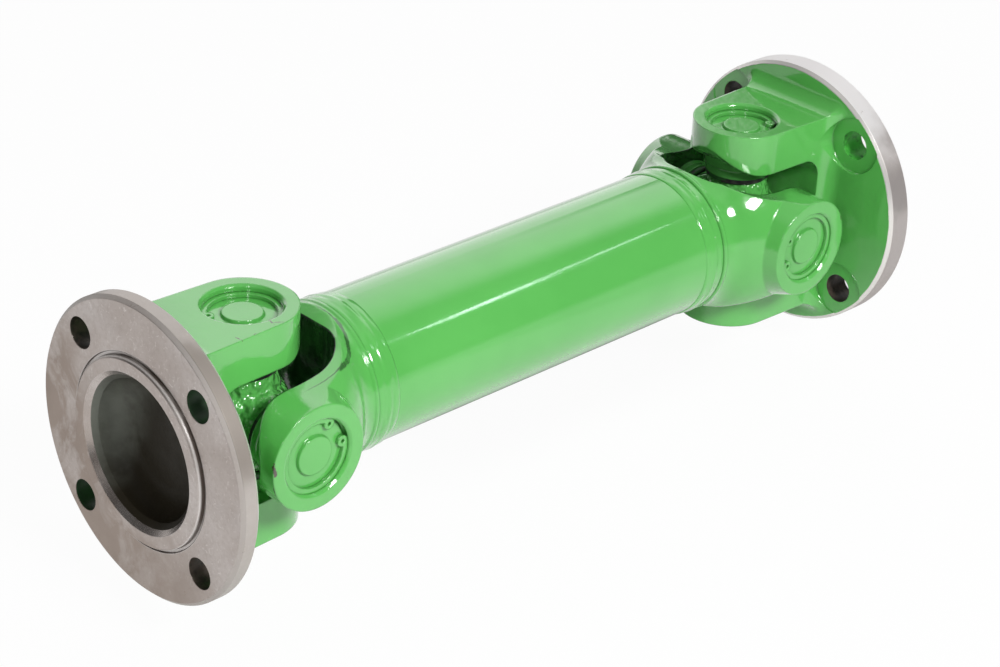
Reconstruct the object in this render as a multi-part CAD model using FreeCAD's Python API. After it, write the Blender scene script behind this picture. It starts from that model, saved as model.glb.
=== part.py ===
import FreeCAD, Part
import math
import os
from FreeCAD import Vector

# Drive shaft with a flanged universal joint at each end. Millimetres.
# X runs along the shaft, Z is up, and the origin is the middle of the shaft.
# Each end is made with its cross at the origin, its flange toward -X and the
# shaft toward +X. The near end moves to -X; the far end is turned half round Z.

# Whole shaft
face_to_face = 370.0

# Bolting flange and its male pilot
flange_diameter = 120.0
near_rim_thickness = 8.2
far_rim_thickness = 12.6
rim_chamfer = 1.5
back_rise = 3.0
bolt_circle = 98.5
bolt_hole_diameter = 12.7
bolt_count = 4
pad_diameter = 25.0
pad_depth = 0.9
pilot_diameter = 75.0
pilot_height = 2.0
pilot_chamfer = 0.8
pilot_relief_width = 1.4
pilot_relief_depth = 0.7
recess_mouth_diameter = 60.0
recess_bevel = 2.0
recess_depth = 14.0
recess_floor_radius = 10.0
recess_draft = 2.0

# Bearing cups
cross_from_face = 47.8
cup_diameter = 30.2
cup_length = 18.7
cup_span = 81.8
cup_floor = 2.4
cup_bore_diameter = 21.6
cup_skirt_step = 0.8
cup_skirt_length = 3.4
cup_end_chamfer = 0.8
cup_boss_diameter = 16.4
cup_boss_height = 1.4

# Cross
trunnion_diameter = 17.0
trunnion_end_play = 0.2
trunnion_chamfer = 1.0
running_clearance = 0.08
seal_clearance = 0.2
seal_thickness = 2.6
seal_diameter = 27.6
shoulder_diameter = 25.0
boss_root_diameter = 31.0
boss_root_height = 9.0
cross_body_diameter = 38.0
cross_body_thickness = 31.0
needle_length = 12.0

# Internal snap rings that hold the cups
ring_thickness = 1.6
ring_width = 3.2
ring_outer_play = 0.1
ring_side_play = 0.1
ring_groove_depth = 1.3
ring_lug_spread = 54.0
ring_lug_radius = 2.3
ring_lug_place = 13.0
ring_lug_hole_diameter = 1.5

# Ears of both kinds of yoke
ear_gap = 54.0
bore_chamfer = 1.0
ear_tip_rise = 10.0
ear_tip_run = 15.0

# Flange yoke
flange_ear_face = 45.4
flange_ear_radius = 21.2
fork_root_half_width = 23.0
crotch_thickness = 20.0
crotch_corner_radius = 9.0
fork_root_fillet = 8.0

# Tube yoke
tube_ear_face = 44.2
tube_ear_radius = 21.4
ear_boss_step = 1.6
arm_length = 37.6
tube_crotch_depth = 32.0
tube_crotch_radius = 19.0
crotch_land_rise = 3.0
crotch_land_run = 5.0
neck_rise = 0.5
neck_length = 0.8
collar_rise = 1.0
collar_length = 2.2
collar_chamfer = 0.5
weld_groove_width = 0.5
weld_groove_depth = 0.3
spigot_overlap = 12.0
ear_boss_flare = 4.0
ear_boss_flare_height = 10.0

# Tube and its weld beads
tube_diameter = 62.0
tube_wall = 3.5
bead_width = 9.7
bead_rise = 1.0

# Places and sizes that follow from the values above
cross_x = face_to_face / 2 - cross_from_face
cup_end = cup_span / 2
cup_mouth = cup_end - cup_length
shoulder_height = cup_mouth - seal_thickness - seal_clearance
trunnion_end = cup_end - cup_floor - trunnion_end_play
bearing_bore = trunnion_diameter / 2 + running_clearance
ring_outer_radius = cup_diameter / 2 + ring_groove_depth - ring_outer_play
collar_start = arm_length + neck_length
collar_end = collar_start + collar_length
bead_start = collar_end + weld_groove_width
tube_start = bead_start + bead_width
spigot_diameter = tube_diameter - 2 * tube_wall
collar_diameter = tube_diameter + 2 * collar_rise
neck_diameter = tube_diameter + 2 * neck_rise

ORIGIN = Vector(0, 0, 0)
AXIS_X = Vector(1, 0, 0)
AXIS_Y = Vector(0, 1, 0)
AXIS_Z = Vector(0, 0, 1)


def at_xz(x, z):
    return Vector(x, 0, z)


def at_xy(x, y):
    return Vector(x, y, 0)


def line(start, end):
    return Part.LineSegment(start, end).toShape()


def bend(place, centre, radius, from_degrees, to_degrees):
    """A round corner about a centre in the plane that place gives."""
    points = []
    for share in (0.0, 0.5, 1.0):
        angle = math.radians(from_degrees + share * (to_degrees - from_degrees))
        points.append(place(centre[0] + radius * math.cos(angle), centre[1] + radius * math.sin(angle)))
    return Part.Arc(*points).toShape()


def smooth(points, start_direction, end_direction):
    """A smooth curve through points, with its direction set at both ends."""
    curve = Part.BSplineCurve()
    curve.interpolate(Points=points, InitialTangent=start_direction, FinalTangent=end_direction)
    return curve.toShape()


def face_of(edges):
    return Part.Face(Part.Wire(Part.__sortEdges__(edges)))


def polygon_face(points):
    return Part.Face(Part.makePolygon(points + [points[0]]))


def spun(face, axis):
    return face.revolve(ORIGIN, axis, 360)


def prism(face, direction, half_length):
    """A face pushed out equally to both sides."""
    moved = face.copy()
    moved.translate(direction * -half_length)
    return moved.extrude(direction * (2 * half_length))


def with_mirror(shape, normal):
    return [shape, shape.mirror(ORIGIN, normal)]


def joined(shapes):
    return shapes[0].multiFuse(shapes[1:]).removeSplitter()


def turned(shape, axis, degrees):
    result = shape.copy()
    result.rotate(ORIGIN, axis, degrees)
    return result


def rounded(shape, edges, radius):
    """The shape with the edges rounded, by less where the walls beside them are short."""
    for share in (1.0, 0.8, 0.6, 0.4, 0.2):
        try:
            result = shape.makeFillet(radius * share, edges)
        except Part.OCCError:
            continue
        if result.isValid() and result.Volume > 0:
            return result
    raise ValueError("no fillet fits these edges")


def tangent_point(radius, point):
    """Where a line from an outside point touches a circle about the origin, on its +Y side."""
    reach = math.hypot(point[0], point[1])
    angle = math.atan2(point[1], point[0]) - math.acos(radius / reach)
    return radius * math.cos(angle), radius * math.sin(angle)


def ear_gap_cut(crotch_x, corner, ear_radius, half_width):
    """The space between two ears, open toward +X, widening at the thin ear tips."""
    inside = ear_gap / 2
    tip_x = ear_radius - ear_tip_run
    tip_z = inside + ear_tip_rise
    slant = math.hypot(ear_tip_run, ear_tip_rise)
    swell = 0.14 * slant
    middle_x = ear_radius - ear_tip_run / 2 + swell * ear_tip_rise / slant
    middle_z = inside + ear_tip_rise / 2 - swell * ear_tip_run / slant
    beyond = ear_radius + ear_tip_run
    half = face_of([
        line(at_xz(crotch_x, 0), at_xz(crotch_x, inside - corner)),
        bend(at_xz, (crotch_x + corner, inside - corner), corner, 180, 90),
        line(at_xz(crotch_x + corner, inside), at_xz(tip_x, inside)),
        Part.Arc(at_xz(tip_x, inside), at_xz(middle_x, middle_z), at_xz(ear_radius, tip_z)).toShape(),
        line(at_xz(ear_radius, tip_z), at_xz(beyond, tip_z + ear_tip_rise)),
        line(at_xz(beyond, tip_z + ear_tip_rise), at_xz(beyond, 0)),
        line(at_xz(beyond, 0), at_xz(crotch_x, 0)),
    ])
    return joined(with_mirror(prism(half, AXIS_Y, half_width), AXIS_Z))


def ear_bores(ear_face):
    """The bores through both ears along Z, each with its ring groove and outer chamfer."""
    radius = cup_diameter / 2
    groove = radius + ring_groove_depth
    groove_end = cup_end + ring_thickness + ring_side_play
    outside = ear_face + bore_chamfer
    face = polygon_face([
        at_xz(0, 0),
        at_xz(radius, 0),
        at_xz(radius, cup_end),
        at_xz(groove, cup_end),
        at_xz(groove, groove_end),
        at_xz(radius, groove_end),
        at_xz(radius, ear_face - bore_chamfer),
        at_xz(radius + 2 * bore_chamfer, outside),
        at_xz(0, outside),
    ])
    return with_mirror(spun(face, AXIS_Z), AXIS_Z)


def flange_disc(rim_thickness):
    """The bolting flange: pilot with its relief groove, bevelled rim, coned back."""
    front = -cross_from_face
    back = front + rim_thickness
    top = front - pilot_height
    rim = flange_diameter / 2
    pilot = pilot_diameter / 2
    return spun(polygon_face([
        at_xz(top, 0),
        at_xz(top, pilot - pilot_chamfer),
        at_xz(top + pilot_chamfer, pilot),
        at_xz(front + pilot_relief_depth, pilot),
        at_xz(front + pilot_relief_depth, pilot + pilot_relief_width),
        at_xz(front, pilot + pilot_relief_width),
        at_xz(front, rim - rim_chamfer),
        at_xz(front + rim_chamfer, rim),
        at_xz(back - rim_chamfer, rim),
        at_xz(back, rim - rim_chamfer),
        at_xz(back + back_rise, 0),
    ]), AXIS_X)


def flange_recess():
    """The dished recess inside the pilot: bevelled mouth, drafted wall, rounded floor."""
    top = -cross_from_face - pilot_height
    mouth = recess_mouth_diameter / 2
    floor = top + recess_depth
    wall = mouth - recess_draft
    radius = recess_floor_radius
    lip = mouth + recess_bevel
    return spun(face_of([
        line(at_xz(top - recess_bevel, 0), at_xz(top - recess_bevel, lip)),
        line(at_xz(top - recess_bevel, lip), at_xz(top, lip)),
        line(at_xz(top, lip), at_xz(top + recess_bevel, mouth)),
        line(at_xz(top + recess_bevel, mouth), at_xz(floor - radius, wall)),
        bend(at_xz, (floor - radius, wall - radius), radius, 90, 0),
        line(at_xz(floor, wall - radius), at_xz(floor, 0)),
        line(at_xz(floor, 0), at_xz(top - recess_bevel, 0)),
    ]), AXIS_X)


def fork_block(rim_thickness):
    """The fork before it is cut out: flat ear faces, round tips, sides spreading to the flange."""
    root_x = -cross_from_face + rim_thickness / 2
    root_y = fork_root_half_width
    touch_x, touch_y = tangent_point(flange_ear_radius, (root_x, root_y))
    tip = at_xy(flange_ear_radius, 0)
    face = face_of([
        line(at_xy(root_x, -root_y), at_xy(root_x, root_y)),
        line(at_xy(root_x, root_y), at_xy(touch_x, touch_y)),
        Part.Arc(at_xy(touch_x, touch_y), tip, at_xy(touch_x, -touch_y)).toShape(),
        line(at_xy(touch_x, -touch_y), at_xy(root_x, -root_y)),
    ])
    return prism(face, AXIS_Z, flange_ear_face)


def fork_root_edges(shape, rim_thickness):
    """The edges where the fork stands on the flange's coned back."""
    back = -cross_from_face + rim_thickness
    edges = []
    for edge in shape.Edges:
        box = edge.BoundBox
        on_back = box.XMin > back - 0.01 and box.XMax < back + back_rise + 0.01
        inside_rim = max(box.YMax, -box.YMin, box.ZMax, -box.ZMin) < flange_diameter / 2 - 2 * rim_chamfer
        if on_back and inside_rim and box.DiagonalLength > 1:
            edges.append(edge)
    return edges


def bolt_places():
    places = []
    for index in range(bolt_count):
        angle = math.radians(360 / bolt_count * (index + 0.5))
        places.append((bolt_circle / 2 * math.cos(angle), bolt_circle / 2 * math.sin(angle)))
    return places


def bolt_cuts(rim_thickness):
    """The through holes and the round seats milled around them on the back."""
    front = -cross_from_face
    rim = flange_diameter / 2
    rise_here = back_rise * (rim - bolt_circle / 2) / rim
    seat = front + rim_thickness + rise_here - pad_depth
    cuts = []
    for y, z in bolt_places():
        hole_start = Vector(front - 1, y, z)
        cuts.append(Part.makeCylinder(bolt_hole_diameter / 2, 2 * rim_thickness, hole_start, AXIS_X))
        cuts.append(Part.makeCylinder(pad_diameter / 2, crotch_thickness, Vector(seat, y, z), AXIS_X))
    return cuts


def flange_yoke(rim_thickness):
    """One forged and machined piece: flange, crotch web and two ears up and down."""
    crotch_x = -cross_from_face + crotch_thickness
    body = joined([flange_disc(rim_thickness), fork_block(rim_thickness)])
    body = rounded(body, fork_root_edges(body, rim_thickness), fork_root_fillet)
    gap = ear_gap_cut(crotch_x, crotch_corner_radius, flange_ear_radius, flange_diameter / 2)
    body = body.cut(gap)
    return body.cut(bolt_cuts(rim_thickness) + ear_bores(flange_ear_face) + [flange_recess()])


def tube_yoke_arms():
    """Both arms, running out of the round neck into the coned roots of the ear bosses."""
    neck = neck_diameter / 2
    depth = arm_length
    radius = tube_ear_radius
    side = smooth(
        [at_xy(0, radius), at_xy(-0.37 * depth, radius + 0.16 * (neck - radius)),
         at_xy(-0.7 * depth, radius + 0.55 * (neck - radius)), at_xy(-depth, neck)],
        Vector(-1, 0, 0), Vector(-1, 0.18, 0))
    plan = face_of([
        side,
        side.mirror(ORIGIN, AXIS_Y),
        line(at_xy(-depth, neck), at_xy(-collar_start, neck)),
        line(at_xy(-depth, -neck), at_xy(-collar_start, -neck)),
        line(at_xy(-collar_start, neck), at_xy(-collar_start, -neck)),
        line(at_xy(0, radius), at_xy(0, -radius)),
    ])
    crown = tube_ear_face - ear_boss_step
    wide = radius + ear_boss_flare
    flare = spun(polygon_face([
        at_xz(0, 0),
        at_xz(wide, 0),
        at_xz(wide, tube_ear_face - ear_boss_flare_height),
        at_xz(radius, tube_ear_face),
        at_xz(0, tube_ear_face),
    ]), AXIS_Z)
    outline = smooth(
        [at_xz(0, crown), at_xz(-0.4 * depth, crown - 0.11 * (crown - neck)),
         at_xz(-0.75 * depth, crown - 0.6 * (crown - neck)), at_xz(-depth, neck)],
        Vector(-1, 0, 0), Vector(-1, 0, -0.12))
    round_body = spun(face_of([
        outline,
        line(at_xz(-depth, neck), at_xz(-collar_start, neck)),
        line(at_xz(-collar_start, neck), at_xz(-collar_start, 0)),
        line(at_xz(-collar_start, 0), at_xz(0, 0)),
        line(at_xz(0, 0), at_xz(0, crown)),
    ]), AXIS_X)
    return prism(plan, AXIS_Z, tube_ear_face).common(joined([round_body] + with_mirror(flare, AXIS_Z)))


def tube_yoke_root():
    """The collar that the weld runs up to, and the spigot that enters the tube."""
    collar = collar_diameter / 2
    tube_radius = tube_diameter / 2
    spigot = spigot_diameter / 2
    end = -(tube_start + spigot_overlap)
    return spun(polygon_face([
        at_xz(-collar_start + 1, 0),
        at_xz(-collar_start + 1, collar - collar_chamfer - 1),
        at_xz(-collar_start, collar - collar_chamfer),
        at_xz(-collar_start - collar_chamfer, collar),
        at_xz(-collar_end + collar_chamfer, collar),
        at_xz(-collar_end, collar - collar_chamfer),
        at_xz(-collar_end, tube_radius - weld_groove_depth),
        at_xz(-bead_start, tube_radius - weld_groove_depth),
        at_xz(-bead_start, spigot),
        at_xz(end + 1, spigot),
        at_xz(end, spigot - 1),
        at_xz(end, 0),
    ]), AXIS_X)


def crotch_outline(y, spread):
    """The round-cornered outline of the gap between the arms at a height y, spread outward."""
    inside = ear_gap / 2 + spread
    radius = tube_crotch_radius + spread
    centre_x = tube_crotch_radius - tube_crotch_depth
    centre_z = ear_gap / 2 - tube_crotch_radius
    diagonal = radius * math.sqrt(0.5)
    start = Vector(-tube_crotch_depth - spread, y, -centre_z)
    end = Vector(-tube_crotch_depth - spread, y, centre_z)
    upper = Vector(centre_x, y, inside)
    lower = Vector(centre_x, y, -inside)
    return Part.Wire([
        line(start, end),
        Part.Arc(end, Vector(centre_x - diagonal, y, centre_z + diagonal), upper).toShape(),
        line(upper, Vector(0, y, inside)),
        line(Vector(0, y, inside), Vector(0, y, -inside)),
        line(Vector(0, y, -inside), lower),
        Part.Arc(lower, Vector(centre_x - diagonal, y, -centre_z - diagonal), start).toShape(),
    ])


def crotch_lands():
    """The sloped lands trimmed along the crotch's edges, on both sides."""
    start = neck_diameter / 2 - crotch_land_rise
    cut = Part.makeLoft([
        crotch_outline(start, 0),
        crotch_outline(start + 2 * crotch_land_rise, 2 * crotch_land_run),
    ], True, True)
    return with_mirror(cut, AXIS_Y)


def tube_yoke():
    """One forged piece with its ears up and down: ears, arms, round neck, collar and spigot."""
    boss = Part.makeCylinder(tube_ear_radius, tube_ear_face, ORIGIN, AXIS_Z)
    body = joined([tube_yoke_arms(), tube_yoke_root()] + with_mirror(boss, AXIS_Z))
    gap = ear_gap_cut(-tube_crotch_depth, tube_crotch_radius, tube_ear_radius, neck_diameter)
    return body.cut([gap] + crotch_lands() + ear_bores(tube_ear_face))


def cross():
    """The four-armed cross: smooth trunnions, sloped shoulders and a rounded middle."""
    arm = spun(polygon_face([
        at_xz(0, trunnion_end),
        at_xz(trunnion_diameter / 2 - trunnion_chamfer, trunnion_end),
        at_xz(trunnion_diameter / 2, trunnion_end - trunnion_chamfer),
        at_xz(trunnion_diameter / 2, shoulder_height),
        at_xz(shoulder_diameter / 2, shoulder_height),
        at_xz(boss_root_diameter / 2, boss_root_height),
        at_xz(boss_root_diameter / 2, 0),
        at_xz(0, 0),
    ]), AXIS_Z)
    middle = Part.makeSphere(cross_body_diameter / 2)
    slab = Part.makeBox(cross_body_thickness, 2 * shoulder_height, 2 * shoulder_height)
    slab.translate(Vector(-cross_body_thickness / 2, -shoulder_height, -shoulder_height))
    arms = []
    for quarter in range(4):
        arms.append(turned(arm, AXIS_X, 90 * quarter))
    return joined([middle.common(slab)] + arms)


def bearing_cup():
    """A cup closed at its outer end, with a raised round boss there and a turned-down mouth."""
    outer = cup_diameter / 2
    bore = cup_bore_diameter / 2
    skirt = outer - cup_skirt_step
    boss = cup_boss_diameter / 2
    return spun(polygon_face([
        at_xz(0, cup_end - cup_floor),
        at_xz(bore, cup_end - cup_floor),
        at_xz(bore, cup_mouth),
        at_xz(skirt, cup_mouth),
        at_xz(skirt, cup_mouth + cup_skirt_length),
        at_xz(outer, cup_mouth + cup_skirt_length + cup_skirt_step),
        at_xz(outer, cup_end - cup_end_chamfer),
        at_xz(outer - cup_end_chamfer, cup_end),
        at_xz(boss, cup_end),
        at_xz(boss - cup_boss_height / 3, cup_end + cup_boss_height),
        at_xz(0, cup_end + cup_boss_height),
    ]), AXIS_Z)


def needle_row():
    """The closed row of needle rollers, as one ring between trunnion and cup."""
    end = cup_end - cup_floor
    return spun(polygon_face([
        at_xz(bearing_bore, end - needle_length),
        at_xz(cup_bore_diameter / 2, end - needle_length),
        at_xz(cup_bore_diameter / 2, end),
        at_xz(bearing_bore, end),
    ]), AXIS_Z)


def seal():
    """The lip seal at the mouth of a cup."""
    inner = trunnion_diameter / 2 + seal_clearance
    outer = seal_diameter / 2
    bottom = cup_mouth - seal_thickness
    slope = seal_thickness / 4
    return spun(polygon_face([
        at_xz(inner, bottom),
        at_xz(outer - slope, bottom),
        at_xz(outer, bottom + slope),
        at_xz(outer, cup_mouth),
        at_xz(inner, cup_mouth),
    ]), AXIS_Z)


def snap_ring(gap_degrees):
    """An open ring with two eyed lugs, its gap facing gap_degrees about +Z."""
    inner = ring_outer_radius - ring_width
    spread = ring_lug_spread / 2
    ring = Part.makeCylinder(ring_outer_radius, ring_thickness)
    hollow = Part.makeCylinder(inner, ring_thickness)
    reach = 2 * ring_outer_radius
    opening = polygon_face([
        ORIGIN,
        at_xy(reach * math.cos(math.radians(spread)), reach * math.sin(math.radians(spread))),
        at_xy(2 * reach, 0),
        at_xy(reach * math.cos(math.radians(spread)), -reach * math.sin(math.radians(spread))),
    ]).extrude(AXIS_Z * ring_thickness)
    lugs = []
    eyes = []
    for side in (-1, 1):
        angle = math.radians(side * spread)
        centre = at_xy(ring_lug_place * math.cos(angle), ring_lug_place * math.sin(angle))
        lugs.append(Part.makeCylinder(ring_lug_radius, ring_thickness, centre, AXIS_Z))
        eyes.append(Part.makeCylinder(ring_lug_hole_diameter / 2, ring_thickness, centre, AXIS_Z))
    ring = joined([ring.cut([hollow, opening])] + lugs).cut(eyes)
    ring.translate(AXIS_Z * cup_end)
    return turned(ring, AXIS_Z, gap_degrees)


def tube():
    outer = Part.makeCylinder(tube_diameter / 2, 2 * (cross_x - tube_start), ORIGIN, AXIS_X)
    inner = Part.makeCylinder(tube_diameter / 2 - tube_wall, 2 * (cross_x - tube_start), ORIGIN, AXIS_X)
    result = outer.cut(inner)
    result.translate(AXIS_X * -(cross_x - tube_start))
    return result


def weld_bead():
    """The ring of weld between collar and tube, swelling a little above them."""
    tube_radius = tube_diameter / 2
    spigot = spigot_diameter / 2
    middle = (bead_start + tube_start) / 2
    crown = Part.Arc(
        at_xz(bead_start, tube_radius),
        at_xz(middle, tube_radius + bead_rise),
        at_xz(tube_start, tube_radius)).toShape()
    return spun(face_of([
        crown,
        line(at_xz(tube_start, tube_radius), at_xz(tube_start, spigot)),
        line(at_xz(tube_start, spigot), at_xz(bead_start, spigot)),
        line(at_xz(bead_start, spigot), at_xz(bead_start, tube_radius)),
    ]), AXIS_X)


def at_near_end(shape):
    result = shape.copy()
    result.translate(AXIS_X * -cross_x)
    return result


def at_far_end(shape):
    result = turned(shape, AXIS_Z, 180)
    result.translate(AXIS_X * cross_x)
    return result


# Which way an ear faces: the turn about X that brings +Z there. The far end is
# turned half round Z afterwards, so its front and back ears turn the other way.
ear_turns = {
    "near": {"top": 0, "bottom": 180, "front": 90, "back": -90},
    "far": {"top": 0, "bottom": 180, "front": -90, "back": 90},
}

# Which way each ring gap faces, about its ear's outward direction.
ring_gaps = {
    "near": {"top": 184, "bottom": 20, "front": 34, "back": 200},
    "far": {"top": 122, "bottom": 70, "front": 0, "back": 310},
}


rim_thicknesses = {"near": near_rim_thickness, "far": far_rim_thickness}


def end_pieces(end):
    """Every piece of one end in the end's own frame, by name."""
    pieces = {
        "flange_yoke": flange_yoke(rim_thicknesses[end]),
        "tube_yoke": turned(turned(tube_yoke(), AXIS_Z, 180), AXIS_X, 90),
        "cross": cross(),
        "weld_bead": weld_bead(),
    }
    for ear, turn in ear_turns[end].items():
        pieces["cup_" + ear] = turned(bearing_cup(), AXIS_X, turn)
        pieces["needles_" + ear] = turned(needle_row(), AXIS_X, turn)
        pieces["seal_" + ear] = turned(seal(), AXIS_X, turn)
        pieces["ring_" + ear] = turned(snap_ring(ring_gaps[end][ear]), AXIS_X, turn)
    return pieces


def all_nodes():
    nodes = {"tube": tube()}
    for name, shape in end_pieces("near").items():
        nodes["near_" + name] = at_near_end(shape)
    for name, shape in end_pieces("far").items():
        nodes["far_" + name] = at_far_end(shape)
    return nodes


os.makedirs("parts", exist_ok=True)
for name, shape in all_nodes().items():
    shape.exportStep("parts/" + name + ".step")
    print(name, len(shape.Solids), round(shape.Volume), shape.isValid())
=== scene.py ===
"""Looks of the drive shaft: enamel, machined steel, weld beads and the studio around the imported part."""
import math

import bmesh
import bpy
from mathutils import Matrix, Vector


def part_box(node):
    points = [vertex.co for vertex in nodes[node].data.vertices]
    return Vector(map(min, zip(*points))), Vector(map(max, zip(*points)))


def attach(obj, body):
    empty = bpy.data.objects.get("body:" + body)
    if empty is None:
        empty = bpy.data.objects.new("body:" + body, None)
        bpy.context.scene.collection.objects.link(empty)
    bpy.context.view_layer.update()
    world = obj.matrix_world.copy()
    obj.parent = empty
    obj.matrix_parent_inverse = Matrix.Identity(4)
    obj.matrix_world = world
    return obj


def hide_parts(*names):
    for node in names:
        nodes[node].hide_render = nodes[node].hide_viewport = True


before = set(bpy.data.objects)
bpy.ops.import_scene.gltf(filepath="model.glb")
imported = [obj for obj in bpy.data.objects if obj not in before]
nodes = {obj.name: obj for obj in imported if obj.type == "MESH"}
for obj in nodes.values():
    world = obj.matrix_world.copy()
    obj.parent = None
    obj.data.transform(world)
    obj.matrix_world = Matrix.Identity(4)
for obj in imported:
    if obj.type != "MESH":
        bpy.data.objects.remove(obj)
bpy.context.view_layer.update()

# Sizes of the part, in metres, in the part's own frame: X along the shaft, Z up.
PILOT_HEIGHT = 0.002
FACE_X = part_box("far_flange_yoke")[1].x - PILOT_HEIGHT
RIM_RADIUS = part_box("far_flange_yoke")[1].z
RIM_THICKNESS = {"near": 0.0082, "far": 0.0126}
RIM_CHAMFER = 0.0015
CHAMFER_RADIUS = RIM_RADIUS - RIM_CHAMFER
SEAT_BELOW_BACK = 0.00036
SEAT_RADIUS = 0.0125
PILOT_RADIUS = 0.0375
RELIEF_WIDTH = 0.0014
RECESS_RADIUS = 0.030
RECESS_BEVEL = 0.002
RECESS_FLOOR = 0.012
BOLT_PLACE = 0.5 * 0.0985 * math.sqrt(0.5)
BOLT_HOLE_RADIUS = 0.00635
CROSS_X = 0.1372
CROTCH_HALF_WIDTH = 0.027
CROTCH_DEPTH = 0.032
CROTCH_RADIUS = 0.019
CROTCH_LAND = 0.0052

# Camera of the photograph, fitted to the part in its own frame.
CAMERA_PLACE = Vector((-0.67283, -0.67096, 0.49934))
CAMERA_YAW = 0.7865
CAMERA_PITCH = 0.4952
CAMERA_ROLL = 0.0512
CAMERA_FOCAL_PIXELS = 2638.2
CAMERA_CLIP_START = 0.05
IMAGE_WIDTH = 1000
SENSOR_WIDTH = 36.0

# Colours are linear.
WHITE = (1.0, 1.0, 1.0)
GREEN = (0.122, 0.502, 0.106)
GREEN_DEEP = (0.108, 0.470, 0.094)
GREEN_BLACK = (0.008, 0.034, 0.009)
STEEL = (0.58, 0.530, 0.505)
STEEL_DARK = (0.48, 0.422, 0.390)
STEEL_BRIGHT = (0.80, 0.765, 0.74)
STEEL_RIM = {"near": (0.50, 0.46, 0.43), "far": (0.49, 0.450, 0.438)}
STEEL_RIM_PAINTED_HIGHLIGHT = (0.92, 0.90, 0.90)
STEEL_RIM_PAINTED_SHADE = {"near": (0.28, 0.245, 0.215), "far": (0.34, 0.310, 0.300)}
STEEL_PATINA = (0.34, 0.275, 0.235)
STEEL_STAIN = (0.26, 0.18, 0.13)
GROOVE_CORNER_DARK = (0.15, 0.118, 0.100)
CASTING = (0.028, 0.023, 0.014)
CASTING_PAINTED_LIGHT = (0.205, 0.218, 0.185)
HOLE_BROWN = (0.085, 0.065, 0.050)
HOLE_OIL = (0.030, 0.026, 0.020)
HOLE_GREEN = {"near": (0.020, 0.050, 0.020), "far": (0.085, 0.520, 0.070)}
RUBBER = (0.018, 0.018, 0.018)
RUBBER_DUST = (0.05, 0.05, 0.045)
RUBBER_MIST = (0.03, 0.14, 0.03)
GROUND_STEEL = (0.56, 0.54, 0.52)
GROUND_STEEL_DARK = (0.45, 0.43, 0.41)
CHIP = (0.085, 0.062, 0.050)
PAPER = (0.84, 0.84, 0.84)
PAPER_LIGHT = (0.86, 0.86, 0.86)
PAPER_SHADED = (0.30, 0.30, 0.30)

# Heights at which the band of painted shade across each rim starts, is full, fades and ends.
RIM_PAINTED_SHADE_HEIGHTS = {"near": (0.006, 0.026, 0.046, 0.060), "far": (0.004, 0.018, 0.028, 0.042)}
# Heights at which the painted highlight on the far rim's top starts and is full.
RIM_PAINTED_HIGHLIGHT_HEIGHTS = (0.032, 0.052)

# Chipped and cracked paint: lines on the ear faces, in metres, with the half width of each.
FLANGE_CHIPS = {
    "near": (
        ((-0.1375, -0.0152, 0.0454), (-0.1386, -0.0209, 0.0450), 0.00022),
        ((-0.1380, -0.0180, 0.0454), (-0.1340, -0.0206, 0.0453), 0.00016),
        ((-0.1553, -0.0185, 0.0454), (-0.1545, -0.0228, 0.0450), 0.00018),
        ((-0.1490, -0.0211, 0.0452), (-0.1455, -0.0209, 0.0450), 0.00020),
    ),
    "far": (),
}
TUBE_YOKE_CHIPS = (
    ((-0.1586, -0.0438, 0.0062), (-0.1576, -0.0441, 0.0008), 0.00055),
    ((-0.1579, -0.0436, -0.0050), (-0.1568, -0.0438, -0.0085), 0.00020),
    ((0.1560, -0.0440, 0.0100), (0.1569, -0.0441, 0.0078), 0.00022),
    ((0.1578, -0.0438, 0.0042), (0.1580, -0.0438, 0.0020), 0.00020),
)

# Turned steel: spacing and depth of the fine and the wide rings.
TURNING_FINE = (0.00045, 0.000007)
TURNING_WIDE = (0.0026, 0.000010)

# Weld beads: a soft ridged run over each plain bead, closed by a skirt sunk into the tube.
BEAD_STEPS_AROUND = 360
BEAD_STEPS_ACROSS = 18
BEAD_OVERLAP = 0.00045
BEAD_CAD_HEIGHT = 0.001
BEAD_SKIRT_DEPTH = 0.0012
BEAD_EDGE_HEIGHT = 0.00008
BEAD_CROWN_HEIGHT = 0.00070
BEAD_SWELL = 0.00005
BEAD_RIDGE = 0.00013
BEAD_ROUNDNESS = 0.7

# Studio. Lamps: name, azimuth, elevation, width, height, radiance, tint and shape.
SWING_ROOM = 0.014
FLOOR_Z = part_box("near_flange_yoke")[0].z - SWING_ROOM
FLOOR_HALF_SIDE = 6.0
FLOOR_CAMERA_SHARE = 0.96
FLOOR_MIRRORED_SHARE = 0.60
FLOOR_SHADED_LOSS = 0.85
STRIP_TINT = (0.84, 1.0, 0.97)
LAMP_DISTANCE = 1.9
LAMPS = (
    ("key_lamp", -95, 38, 0.78, 0.36, 34.0, WHITE, "ELLIPSE"),
    ("strip_wide", -41, 37.5, 0.16, 0.10, 6.0, STRIP_TINT, "RECTANGLE"),
    ("strip_thin", -36, 38, 0.32, 0.045, 5.0, STRIP_TINT, "RECTANGLE"),
    ("side_strip", -148, 28, 0.16, 0.40, 18.0, WHITE, "RECTANGLE"),
)

# The room round the studio, in degrees of azimuth and elevation, and how bright its parts are.
SIDE_WALL_STARTS = (38.5, 43.0)
HIGH_WALL_AZIMUTH = (-22.0, 10.0)
HIGH_WALL_ELEVATION = (26.0, 33.0)
WALLS_END = (85.0, 110.0)
CEILING_STARTS = (48.0, 62.0)
ROOM_LEVEL = 0.06
WALL_LEVEL = 1.25
CEILING_LEVEL = 0.40


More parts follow.
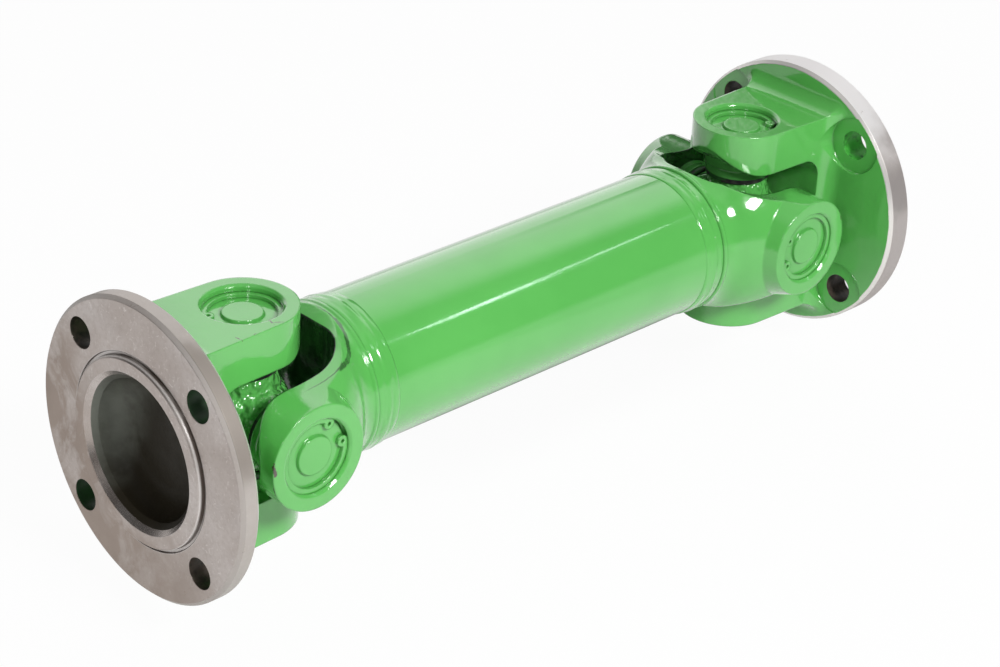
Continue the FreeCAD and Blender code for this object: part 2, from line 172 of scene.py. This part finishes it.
class Shader:
    """A node tree with short calls to add its nodes."""

    def __init__(self, owner, output_kind="ShaderNodeOutputMaterial"):
        self.owner = owner
        owner.use_nodes = True
        self.tree = owner.node_tree
        self.tree.nodes.clear()
        self.output = self.tree.nodes.new(output_kind)

    def node(self, kind, inputs=(), **settings):
        """Adds a node, with its settings and what its inputs get, by name or number."""
        made = self.tree.nodes.new(kind)
        for name, value in settings.items():
            setattr(made, name, value)
        for name, value in dict(inputs).items():
            self.feed(made.inputs[name], value)
        return made

    def feed(self, socket, value):
        """Links an output to the socket, or sets the socket's own value."""
        if isinstance(value, bpy.types.NodeSocket):
            self.tree.links.new(value, socket)
        elif isinstance(value, (tuple, list)) and len(value) == 3 and socket.type == "RGBA":
            socket.default_value = (*value, 1.0)
        else:
            socket.default_value = value

    def math(self, operation, a, b=0.0):
        return self.node("ShaderNodeMath", {0: a, 1: b}, operation=operation).outputs[0]

    def plus(self, a, b):
        return self.math("ADD", a, b)

    def minus(self, a, b):
        return self.math("SUBTRACT", a, b)

    def larger(self, a, b):
        return self.math("MAXIMUM", a, b)

    def smaller(self, a, b):
        return self.math("MINIMUM", a, b)

    def absolute(self, value):
        return self.math("ABSOLUTE", value)

    def times(self, *values):
        product = values[0]
        for value in values[1:]:
            product = self.math("MULTIPLY", product, value)
        return product

    def hypot(self, a, b):
        return self.math("SQRT", self.plus(self.times(a, a), self.times(b, b)))

    def between(self, value, low, high, to_low=0.0, to_high=1.0):
        """A smooth ramp of value from low to high."""
        made = self.node("ShaderNodeMapRange", {"Value": value, "From Min": low, "From Max": high,
                                                "To Min": to_low, "To Max": to_high})
        made.interpolation_type = "SMOOTHSTEP"
        return made.outputs["Result"]

    def falls(self, value, low, high):
        """A smooth ramp down, 1 up to low and 0 from high on."""
        return self.between(value, low, high, 1.0, 0.0)

    def near_value(self, value, centre, half_width, soft):
        """1 where value is within half_width of centre, falling to 0 over soft."""
        off = self.absolute(self.minus(value, centre))
        return self.falls(off, half_width, half_width + soft)

    def mix(self, share, a, b):
        """The colour a, turning into b as share goes from 0 to 1."""
        made = self.node("ShaderNodeMix", data_type="RGBA")
        self.feed(made.inputs["Factor"], share)
        self.feed(made.inputs[6], a)
        self.feed(made.inputs[7], b)
        return made.outputs[2]

    def mix_value(self, share, a, b):
        """The number a, turning into b as share goes from 0 to 1."""
        made = self.node("ShaderNodeMix", data_type="FLOAT")
        self.feed(made.inputs["Factor"], share)
        self.feed(made.inputs[2], a)
        self.feed(made.inputs[3], b)
        return made.outputs[0]

    def layer(self, share, under, over):
        return self.node("ShaderNodeMixShader", {0: share, 1: under, 2: over}).outputs[0]

    def place(self):
        """The point in the part's frame, which stays with the piece when it moves."""
        return self.node("ShaderNodeTexCoord").outputs["Object"]

    def split(self, vector):
        made = self.node("ShaderNodeSeparateXYZ", {0: vector})
        return made.outputs[0], made.outputs[1], made.outputs[2]

    def join(self, *parts):
        return self.node("ShaderNodeCombineXYZ", dict(enumerate(parts))).outputs[0]

    def vector_math(self, operation, a, *b):
        made = self.node("ShaderNodeVectorMath", dict(enumerate((a, *b))), operation=operation)
        return made.outputs["Value" if operation in ("DOT_PRODUCT", "LENGTH") else "Vector"]

    def noise(self, vector, size, detail=2.0, roughness=0.5, distortion=0.0):
        """Noise whose features are about size metres across."""
        made = self.node("ShaderNodeTexNoise", {"Vector": vector, "Scale": 1.0 / size, "Detail": detail,
                                                "Roughness": roughness, "Distortion": distortion})
        return made.outputs["Fac"]

    def wander(self, noise, reach):
        """Noise spread to values from -reach to reach."""
        return self.between(noise, 0.3, 0.7, -reach, reach)

    def bump(self, height, depth, normal=None):
        """Height from 0 to 1 raised by depth metres."""
        inputs = {"Height": height, "Distance": depth, "Strength": 1.0}
        if normal is not None:
            inputs["Normal"] = normal
        return self.node("ShaderNodeBump", inputs).outputs["Normal"]

    def mark(self, place, start, end, half_width):
        """1 on a ragged mark along the line from start to end, 0 away from it."""
        span = Vector(end) - Vector(start)
        offset = self.vector_math("SUBTRACT", place, start)
        share = self.vector_math("DOT_PRODUCT", offset, tuple(span / span.length_squared))
        share = self.smaller(self.larger(share, 0.0), 1.0)
        along = self.join(*[self.times(share, value) for value in span])
        off = self.vector_math("LENGTH", self.vector_math("SUBTRACT", offset, along))
        ragged = self.wander(self.noise(place, 0.0016, 3.0, 0.7), 0.8 * half_width)
        return self.falls(self.plus(off, ragged), half_width, 1.6 * half_width)

    def bevel(self, radius):
        return self.node("ShaderNodeBevel", {"Radius": radius}, samples=6).outputs["Normal"]

    def openness(self, reach):
        """1 on open surfaces, lower in corners and gaps narrower than reach."""
        return self.node("ShaderNodeAmbientOcclusion", {"Distance": reach}, samples=6).outputs["AO"]

    def principled(self, inputs):
        return self.node("ShaderNodeBsdfPrincipled", inputs).outputs["BSDF"]

    def finish(self, surface):
        self.tree.links.new(surface, self.output.inputs["Surface"])
        return self.owner


def new_shader(name):
    return Shader(bpy.data.materials.new(name))


def enamel_shader(sh, place, peel_depth=0.000008, cast_depth=0.00008, edge_radius=0.0007,
                  lump_depth=0.0, grime_share=0.6, dark=None, chips=()):
    """Glossy green enamel over the forging's own skin, darkened toward black in corners and gaps: grime and
    painted shade.
    """
    drift = sh.noise(place, 0.045, 3.0)
    colour = sh.mix(sh.between(drift, 0.35, 0.65), GREEN, GREEN_DEEP)
    if grime_share:
        # Grime and painted shade: the paint turns toward black where occlusion finds a corner or gap.
        grime = sh.between(sh.openness(0.010), 0.25, 0.65, grime_share, 0.0)
        colour = sh.mix(grime, colour, GREEN_BLACK)
    # The caller's dark share: painted shade inside the tube yoke's crotch, and its flash line.
    if dark is not None:
        colour = sh.mix(dark, colour, GREEN_BLACK)
    for start, end, half_width in chips:
        colour = sh.mix(sh.mark(place, start, end, half_width), colour, CHIP)
    normal = sh.bump(sh.noise(place, 0.0075, 3.0, 0.55), cast_depth, sh.bevel(edge_radius))
    if lump_depth:
        normal = sh.bump(sh.noise(place, 0.0036, 1.0, 0.5, 0.2), lump_depth, normal)
    normal = sh.bump(sh.noise(place, 0.0018, 1.0), peel_depth, normal)
    gloss = sh.noise(place, 0.012, 2.0)
    return sh.principled({
        "Base Color": colour,
        "Roughness": sh.between(gloss, 0.3, 0.7, 0.08, 0.16),
        "IOR": 1.5,
        "Specular IOR Level": 0.5,
        "Coat Weight": 1.0,
        "Coat Roughness": 0.05,
        "Coat IOR": 1.5,
        "Normal": normal,
        "Coat Normal": normal,
    })


def green_enamel(name, **skin):
    """Enamel over a whole piece, with the skin that enamel_shader is told."""
    sh = new_shader(name)
    return sh.finish(enamel_shader(sh, sh.place(), **skin))


def tube_yoke_material():
    """Enamel coloured near black in patches inside the crotch as painted shade, with the forging's dark flash
    line on the crotch's land.
    """
    sh = new_shader("tube_yoke_enamel")
    place = sh.place()
    x, y, z = sh.split(place)
    along = sh.minus(sh.minus(CROSS_X, sh.absolute(x)), CROTCH_DEPTH - CROTCH_RADIUS)
    across = sh.minus(sh.absolute(y), CROTCH_HALF_WIDTH - CROTCH_RADIUS)
    corner = sh.hypot(sh.larger(along, 0.0), sh.larger(across, 0.0))
    inner = sh.smaller(sh.larger(along, across), 0.0)
    from_crotch = sh.minus(sh.plus(corner, inner), CROTCH_RADIUS)
    in_crotch = sh.falls(from_crotch, 0.0001, 0.0004)
    patches = sh.between(sh.noise(place, 0.006, 3.0), 0.45, 0.75, 1.0, 0.82)
    wobble = sh.wander(sh.noise(place, 0.0022, 3.0, 0.6), 0.00016)
    at_bend = sh.times(sh.between(along, 0.002, 0.010), sh.between(y, -0.004, -0.012))
    bend_width = sh.between(sh.noise(place, 0.0045, 3.0), 0.36, 0.60, 0.0001, 0.0006)
    width = sh.mix_value(at_bend, 0.00005, bend_width)
    off = sh.absolute(sh.minus(sh.plus(from_crotch, wobble), CROTCH_LAND))
    flash = sh.between(sh.minus(off, width), 0.0, 0.00045, 0.75, 0.0)
    flash = sh.times(flash, sh.between(along, -0.012, -0.004), sh.between(z, 0.0, 0.005),
                     sh.between(x, 0.01, -0.01), sh.between(y, 0.006, -0.004))
    # Painted shade inside the crotch, in patches; the flash line is the forging's own dark mark.
    dark = sh.larger(sh.times(in_crotch, patches), flash)
    return sh.finish(enamel_shader(sh, place, cast_depth=0.00014, edge_radius=0.0012, lump_depth=0.00003,
                                   grime_share=0.2, dark=dark, chips=TUBE_YOKE_CHIPS))


def steel_colour(sh, place, y, z, on_rim, cloud):
    """Turned steel with dull patches, speckle, scuffs, and browner and darker toward one side and toward the
    bottom.
    """
    smear = sh.noise(place, 0.008, 5.0, 0.65, 2.0)
    speckle = sh.noise(place, 0.0022, 5.0, 0.72)
    scuffs = sh.noise(place, 0.0045, 6.0, 0.7, 3.0)
    colour = sh.mix(sh.between(cloud, 0.36, 0.66), STEEL, STEEL_DARK)
    colour = sh.mix(sh.between(smear, 0.48, 0.70, 0.0, 0.50), colour, STEEL_DARK)
    colour = sh.mix(sh.between(speckle, 0.44, 0.66, 0.0, 0.25), colour, STEEL_PATINA)
    colour = sh.mix(sh.between(scuffs, 0.55, 0.68, 0.0, 0.5), colour, STEEL_BRIGHT)
    # Browner and darker toward one side, in patches, less on the rim.
    toward_side = sh.minus(sh.times(y, 0.8), sh.times(z, 0.6))
    patches = sh.noise(place, 0.018, 5.0, 0.65, 0.8)
    browner_side = sh.times(sh.between(toward_side, -0.020, 0.045, 0.05, 1.3),
                      sh.between(patches, 0.34, 0.62, 0.25, 1.0))
    colour = sh.mix(sh.times(browner_side, sh.mix_value(on_rim, 0.95, 0.25)), colour, STEEL_PATINA)
    # Browner and darker toward the bottom.
    return sh.mix(sh.between(z, -0.024, -0.050, 0.0, 0.45), colour, STEEL_PATINA)


def rim_colour(sh, colour, z, radius, on_rim, cloud, end):
    """The rim over the steel's colour, with a band of painted shade across it and a painted highlight on the
    far one's top.
    """
    colour = sh.mix(sh.times(on_rim, sh.between(cloud, 0.40, 0.66, 0.9, 0.6)), colour, STEEL_RIM[end])
    height = sh.plus(z, sh.between(cloud, 0.35, 0.65, -0.006, 0.006))
    outside = sh.between(radius, RIM_RADIUS - 0.0003, RIM_RADIUS - 0.0001)
    starts, full, fades, ends = RIM_PAINTED_SHADE_HEIGHTS[end]
    # Painted shade: a darker band across the rim's outer face, by height.
    band = sh.times(outside, sh.between(height, starts, full), sh.between(height, fades, ends, 0.85, 0.0))
    colour = sh.mix(band, colour, STEEL_RIM_PAINTED_SHADE[end])
    if end == "far":
        # Painted highlight: the far rim's top turns nearly white.
        top = sh.times(outside, sh.between(height, *RIM_PAINTED_HIGHLIGHT_HEIGHTS, 0.0, 0.85))
        colour = sh.mix(top, colour, STEEL_RIM_PAINTED_HIGHLIGHT)
    return colour


def bare_steel_shader(sh, place, radius, from_face, end):
    """Turned steel: fine rings, brown spots, dark lines at the relief groove's corners, painted light in the
    relief groove and a painted highlight on the chamfers.
    """
    x, y, z = sh.split(place)
    cloud = sh.noise(place, 0.036, 4.0, 0.55)
    on_rim = sh.between(radius, CHAMFER_RADIUS - 0.0002, CHAMFER_RADIUS + 0.0004)
    colour = steel_colour(sh, place, y, z, on_rim, cloud)
    colour = rim_colour(sh, colour, z, radius, on_rim, cloud, end)

    spots = sh.noise(place, 0.0030, 3.0, 0.7)
    stain = sh.times(sh.between(spots, 0.66, 0.78, 0.0, 0.8), sh.between(cloud, 0.48, 0.60))
    colour = sh.mix(stain, colour, STEEL_STAIN)

    # Painted highlight: the rim's back chamfer, and a little of the recess bevel, are coloured bright steel.
    on_chamfer = sh.times(sh.between(radius, CHAMFER_RADIUS - 0.0002, CHAMFER_RADIUS),
                          sh.falls(radius, RIM_RADIUS - 0.00015, RIM_RADIUS - 0.00005),
                          sh.between(from_face, 0.0020, 0.0030))
    bevel_radius = RECESS_RADIUS + RECESS_BEVEL
    on_bevel = sh.times(sh.between(radius, RECESS_RADIUS - 0.0003, RECESS_RADIUS),
                        sh.falls(radius, bevel_radius - 0.0002, bevel_radius + 0.0001))
    colour = sh.mix(sh.larger(on_chamfer, sh.times(on_bevel, 0.25)), colour, STEEL_BRIGHT)

    relief = sh.near_value(radius, PILOT_RADIUS + RELIEF_WIDTH / 2, RELIEF_WIDTH / 2 + 0.0002, 0.0003)
    # Painted light: the relief groove is coloured lighter, against the shade in it.
    colour = sh.mix(sh.times(relief, 0.7), colour, STEEL_BRIGHT)
    # Dark lines, patchy, along the relief groove's two corners.
    groove_corner_lines = sh.larger(sh.near_value(radius, PILOT_RADIUS + 0.0001, 0.00012, 0.00015),
                           sh.near_value(radius, PILOT_RADIUS + RELIEF_WIDTH, 0.00012, 0.00018))
    groove = sh.times(groove_corner_lines, sh.between(from_face, -0.0009, -0.0004),
                      sh.between(sh.noise(place, 0.016, 2.0), 0.30, 0.60, 0.45, 1.0))
    colour = sh.mix(groove, colour, GROOVE_CORNER_DARK)

    turned = sh.join(x, radius)
    normal = sh.bevel(0.0004)
    for spacing, depth in (TURNING_FINE, TURNING_WIDE):
        normal = sh.bump(sh.noise(turned, spacing, 2.0, 0.6), depth, normal)
    grime = sh.noise(place, 0.012, 3.0)
    roughness = sh.mix_value(on_rim, sh.between(grime, 0.3, 0.7, 0.34, 0.44), 0.52)
    return sh.principled({
        "Base Color": colour,
        "Metallic": sh.mix_value(sh.larger(relief, on_rim), 0.85, 0.45),
        "Roughness": sh.mix_value(sh.larger(on_chamfer, on_bevel), roughness, 0.26),
        "Normal": normal,
    })


def casting_shader(sh, place):
    """The oiled forging inside the pilot, with painted light toward its back and top."""
    _, y, z = sh.split(place)
    patches = sh.noise(place, 0.012, 3.0, 0.6)
    # Painted light: lighter colour toward the recess's back and top, with a patchy edge.
    painted_light_side = sh.plus(sh.plus(sh.times(z, 0.25), sh.times(y, 1.2)), sh.wander(patches, 0.0035))
    grain = sh.noise(place, 0.0013, 3.0, 0.6)
    return sh.principled({
        "Base Color": sh.mix(sh.between(painted_light_side, 0.010, 0.042), CASTING, CASTING_PAINTED_LIGHT),
        "Roughness": sh.between(patches, 0.3, 0.7, 0.42, 0.55),
        "Specular IOR Level": 0.15,
        "Normal": sh.bump(grain, 0.00010),
    })


def hole_shader(sh, place, end):
    """Drilled walls of the bolt holes: two brown with old oil, two green with overspray."""
    x, y, z = sh.split(place)
    smear = sh.noise(place, 0.004, 3.0, 0.6)
    brown = sh.mix(sh.between(smear, 0.35, 0.65), HOLE_BROWN, HOLE_OIL)
    green = sh.mix(sh.between(smear, 0.45, 0.80), HOLE_GREEN[end], GREEN_BLACK)
    rings = sh.noise(sh.join(x), 0.0006, 1.0)
    return sh.principled({
        "Base Color": sh.mix(sh.between(sh.times(y, z), -0.0001, 0.0001), green, brown),
        "Roughness": 0.45,
        "Specular IOR Level": 0.3,
        "Normal": sh.bump(rings, 0.00002),
    })


def flange_material(end):
    """Enamel on the fork and the back, bare steel on face, pilot and rim, raw forging in the recess."""
    rim_thickness = RIM_THICKNESS[end]
    sh = new_shader(end + "_flange_enamel_and_steel")
    place = sh.place()
    x, y, z = sh.split(place)
    from_face = sh.minus(FACE_X, sh.absolute(x))
    radius = sh.hypot(y, z)
    from_hole = sh.hypot(sh.minus(sh.absolute(y), BOLT_PLACE), sh.minus(sh.absolute(z), BOLT_PLACE))

    on_face = sh.falls(from_face, 0.0011, 0.0013)
    on_seat = sh.times(sh.near_value(from_face, rim_thickness - SEAT_BELOW_BACK, 0.00004, 0.00004),
                       sh.falls(from_hole, SEAT_RADIUS - 0.0001, SEAT_RADIUS + 0.0001))
    ragged = sh.wander(sh.noise(place, 0.005, 3.0), 0.00010)
    on_edge = sh.times(sh.between(sh.plus(radius, ragged), CHAMFER_RADIUS - 0.00012, CHAMFER_RADIUS + 0.00004),
                       sh.falls(from_face, rim_thickness, rim_thickness + 0.0002),
                       sh.minus(1.0, on_seat))
    in_recess = sh.times(sh.falls(radius, RECESS_RADIUS - 0.0001, RECESS_RADIUS + 0.0001),
                         sh.between(from_face, -0.0001, 0.0001),
                         sh.falls(from_face, RECESS_FLOOR + 0.0006, RECESS_FLOOR + 0.0010))
    in_hole = sh.times(sh.falls(from_hole, BOLT_HOLE_RADIUS + 0.00005, BOLT_HOLE_RADIUS + 0.00015),
                       sh.between(from_face, 0.0001, 0.0003))

    surface = enamel_shader(sh, place, cast_depth=0.00010, edge_radius=0.0009, chips=FLANGE_CHIPS[end])
    surface = sh.layer(sh.larger(on_face, on_edge), surface,
                       bare_steel_shader(sh, place, radius, from_face, end))
    surface = sh.layer(in_recess, surface, casting_shader(sh, place))
    surface = sh.layer(in_hole, surface, hole_shader(sh, place, end))
    return sh.finish(surface)


def rubber_material():
    """Moulded rubber with paint mist on parts of it."""
    sh = new_shader("seal_rubber")
    place = sh.place()
    dust = sh.noise(place, 0.004, 3.0)
    mist = sh.noise(place, 0.009, 2.0)
    colour = sh.mix(sh.between(dust, 0.4, 0.7), RUBBER, RUBBER_DUST)
    grain = sh.noise(place, 0.0007, 2.0)
    return sh.finish(sh.principled({
        "Base Color": sh.mix(sh.between(mist, 0.46, 0.54), colour, RUBBER_MIST),
        "Roughness": sh.between(dust, 0.3, 0.7, 0.38, 0.55),
        "Normal": sh.bump(grain, 0.00003, sh.bevel(0.0004)),
    }))


def ground_steel_material():
    sh = new_shader("ground_steel")
    place = sh.place()
    cloud = sh.noise(place, 0.006, 3.0)
    return sh.finish(sh.principled({
        "Base Color": sh.mix(sh.between(cloud, 0.3, 0.7), GROUND_STEEL, GROUND_STEEL_DARK),
        "Metallic": 1.0,
        "Roughness": sh.between(cloud, 0.3, 0.7, 0.2, 0.32),
        "Normal": sh.bump(sh.noise(place, 0.0006, 2.0), 0.00001, sh.bevel(0.0003)),
    }))


def dress(node, material):
    """Gives a CAD node its material on every slot."""
    mesh = nodes[node].data
    if not mesh.materials:
        mesh.materials.append(material)
    for index in range(len(mesh.materials)):
        mesh.materials[index] = material


flanges = {end: flange_material(end) for end in ("near", "far")}
tube_yoke = tube_yoke_material()
forging = green_enamel("forging_enamel", cast_depth=0.00016, edge_radius=0.0012, lump_depth=0.0032,
                       grime_share=0.25)
tube_enamel = green_enamel("tube_enamel", peel_depth=0.000004, cast_depth=0.00003, edge_radius=0.0004,
                           grime_share=0.0)
small_enamel = green_enamel("small_part_enamel", cast_depth=0.00003, edge_radius=0.0009,
                            lump_depth=0.00005, grime_share=0.4)
rubber = rubber_material()
steel = ground_steel_material()
for name in nodes:
    end, _, kind = name.partition("_")
    if kind == "flange_yoke":
        dress(name, flanges[end])
    elif kind == "tube_yoke":
        dress(name, tube_yoke)
    elif kind == "cross":
        dress(name, forging)
    elif name == "tube" or kind == "weld_bead":
        dress(name, tube_enamel)
    elif kind.startswith("seal"):
        dress(name, rubber)
    elif kind.startswith("needles"):
        dress(name, steel)
    else:
        dress(name, small_enamel)


def bead_height(share, angle, phase):
    """Height over the tube, in metres, at a share of the bead's width and an angle round the tube."""
    crown = (4.0 * share * (1.0 - share)) ** BEAD_ROUNDNESS
    swell = math.sin(9.0 * angle + phase) + 0.7 * math.sin(16.0 * angle + 2.0 * phase)
    wander = 0.7 * math.sin(4.0 * angle + phase) + 0.4 * math.sin(13.0 * angle)
    ridge = math.sin(5.0 * math.pi * share + wander) + 0.5 * math.sin(9.0 * math.pi * share - 1.4 * wander)
    return BEAD_EDGE_HEIGHT + crown * (BEAD_CROWN_HEIGHT + BEAD_SWELL * swell + BEAD_RIDGE * ridge)


def ring_of_points(shape, place_x, radius_at):
    """Vertices once round the shaft at place_x, radius_at(angle) from its axis."""
    row = []
    for turn in range(BEAD_STEPS_AROUND):
        angle = 2.0 * math.pi * turn / BEAD_STEPS_AROUND
        radius = radius_at(angle)
        row.append(shape.verts.new((place_x, radius * math.cos(angle), radius * math.sin(angle))))
    return row


def ridged_bead(end, phase):
    """A closed ring over the plain weld bead, in its place."""
    low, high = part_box(end + "_weld_bead")
    base_radius = high.z - BEAD_CAD_HEIGHT
    first_x, last_x = low.x - BEAD_OVERLAP, high.x + BEAD_OVERLAP
    shape = bmesh.new()
    rows = []
    for step in range(BEAD_STEPS_ACROSS + 1):
        share = step / BEAD_STEPS_ACROSS
        rows.append(ring_of_points(shape, first_x + share * (last_x - first_x),
                                   lambda angle: base_radius + bead_height(share, angle, phase)))
    for place_x in (last_x, first_x):
        rows.append(ring_of_points(shape, place_x, lambda angle: base_radius - BEAD_SKIRT_DEPTH))
    for index, row in enumerate(rows):
        following = rows[(index + 1) % len(rows)]
        for turn in range(BEAD_STEPS_AROUND):
            beside = (turn + 1) % BEAD_STEPS_AROUND
            shape.faces.new((row[turn], row[beside], following[beside], following[turn]))
    bmesh.ops.recalc_face_normals(shape, faces=shape.faces)
    mesh = bpy.data.meshes.new(end + "_weld_ripples")
    shape.to_mesh(mesh)
    shape.free()
    mesh.polygons.foreach_set("use_smooth", [True] * len(mesh.polygons))
    mesh.materials.append(tube_enamel)
    bead = bpy.data.objects.new(end + "_weld_ripples", mesh)
    bpy.context.scene.collection.objects.link(bead)
    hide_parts(end + "_weld_bead")
    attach(bead, "shaft")


ridged_bead("near", 0.4)
ridged_bead("far", 2.1)


def aim(object_, place, target, roll=0.0):
    """Puts a camera or lamp at place, looking at target."""
    forward = (target - place).normalized()
    right = forward.cross(Vector((0, 0, 1))).normalized()
    up = right.cross(forward)
    turned_right = math.cos(roll) * right + math.sin(roll) * up
    turned_up = math.cos(roll) * up - math.sin(roll) * right
    matrix = Matrix((turned_right, turned_up, -forward)).transposed().to_4x4()
    matrix.translation = place
    object_.matrix_world = matrix


def direction(azimuth, elevation):
    """A unit vector: azimuth in degrees from +X toward +Y, elevation above the floor."""
    a, e = math.radians(azimuth), math.radians(elevation)
    return Vector((math.cos(a) * math.cos(e), math.sin(a) * math.cos(e), math.sin(e)))


def softbox(name, azimuth, elevation, width, height, radiance, tint, shape):
    """A lamp that shows this radiance to what it lights."""
    lamp = bpy.data.lights.new(name, "AREA")
    lamp.shape = shape
    lamp.size = width
    lamp.size_y = height
    lamp.energy = radiance * math.pi * width * height
    lamp.color = tint
    lamp_object = bpy.data.objects.new(name, lamp)
    bpy.context.scene.collection.objects.link(lamp_object)
    aim(lamp_object, direction(azimuth, elevation) * LAMP_DISTANCE, Vector((0, 0, 0)))
    lamp_object.visible_camera = False


def floor_material():
    """Paper that shows as white to the camera and in reflections, and keeps the shadow."""
    sh = new_shader("studio_floor")
    place = sh.place()
    x, y, _ = sh.split(place)
    path = sh.node("ShaderNodeLightPath")
    to_camera = path.outputs["Is Camera Ray"]
    mirrored = sh.larger(path.outputs["Is Glossy Ray"], path.outputs["Is Transmission Ray"])

    # Reflections of the floor fade with distance on the -Y side, and sooner beyond the far flange.
    fade = sh.larger(sh.between(sh.hypot(x, y), 0.45, 1.3, 1.0, 0.2), sh.between(y, 0.10, 0.35))
    beyond = sh.larger(sh.between(x, 0.14, 0.26, 1.0, 0.5), sh.between(y, -0.04, 0.02))
    glow_level = sh.larger(to_camera, sh.times(fade, beyond))

    # A shaded patch beside the tube, on its +Y side, keeps the far flange's back darker.
    shaded = sh.times(sh.between(x, -0.08, 0.0), sh.falls(x, 0.12, 0.17),
                      sh.between(y, -0.02, 0.02), sh.falls(y, 0.13, 0.19))
    white = sh.mix(sh.noise(place, 0.4, 2.0), PAPER, PAPER_LIGHT)
    paper = sh.node("ShaderNodeBsdfDiffuse", {"Color": sh.mix(shaded, white, PAPER_SHADED)})
    glow = sh.node("ShaderNodeEmission", {"Color": WHITE, "Strength": glow_level})
    mirrored = sh.times(mirrored, sh.minus(1.0, sh.times(shaded, FLOOR_SHADED_LOSS)))
    share = sh.larger(sh.times(to_camera, FLOOR_CAMERA_SHARE), sh.times(mirrored, FLOOR_MIRRORED_SHARE))
    return sh.finish(sh.layer(share, paper.outputs[0], glow.outputs[0]))


def studio_floor():
    side = FLOOR_HALF_SIDE
    corners = [(-side, -side, FLOOR_Z), (side, -side, FLOOR_Z), (side, side, FLOOR_Z), (-side, side, FLOOR_Z)]
    mesh = bpy.data.meshes.new("studio_floor")
    mesh.from_pydata(corners, [], [(0, 1, 2, 3)])
    mesh.materials.append(floor_material())
    floor = bpy.data.objects.new("studio_floor", mesh)
    bpy.context.scene.collection.objects.link(floor)


def studio_world():
    """A dark room with bright walls on two sides and a pale ceiling, which the camera sees as white."""
    world = bpy.data.worlds.new("studio")
    sh = Shader(world, "ShaderNodeOutputWorld")
    path = sh.node("ShaderNodeLightPath")
    x, y, z = sh.split(sh.node("ShaderNodeTexCoord").outputs["Generated"])
    azimuth = sh.math("DEGREES", sh.math("ARCTAN2", y, x))
    elevation = sh.math("DEGREES", sh.math("ARCSINE", z))
    side_wall = sh.between(azimuth, *SIDE_WALL_STARTS)
    high_wall = sh.times(sh.between(azimuth, *HIGH_WALL_AZIMUTH), sh.between(elevation, *HIGH_WALL_ELEVATION))
    wall = sh.times(sh.larger(side_wall, high_wall), sh.falls(azimuth, *WALLS_END))
    wall_level = sh.mix_value(wall, ROOM_LEVEL, WALL_LEVEL)
    level = sh.mix_value(sh.between(elevation, *CEILING_STARTS), wall_level, CEILING_LEVEL)
    shown = sh.mix_value(path.outputs["Is Camera Ray"], level, 1.0)
    background = sh.node("ShaderNodeBackground", {"Color": WHITE, "Strength": shown})
    sh.finish(background.outputs[0])
    bpy.context.scene.world = world


def photo_camera():
    camera = bpy.data.cameras.new("photo_camera")
    camera.sensor_width = SENSOR_WIDTH
    camera.lens = CAMERA_FOCAL_PIXELS / IMAGE_WIDTH * SENSOR_WIDTH
    camera.clip_start = CAMERA_CLIP_START
    camera_object = bpy.data.objects.new("photo_camera", camera)
    bpy.context.scene.collection.objects.link(camera_object)
    forward = direction(math.degrees(CAMERA_YAW), -math.degrees(CAMERA_PITCH))
    aim(camera_object, CAMERA_PLACE, CAMERA_PLACE + forward, CAMERA_ROLL)
    bpy.context.scene.camera = camera_object


studio_floor()
studio_world()
for settings in LAMPS:
    softbox(*settings)
photo_camera()

scene = bpy.context.scene
scene.view_settings.view_transform = "Standard"
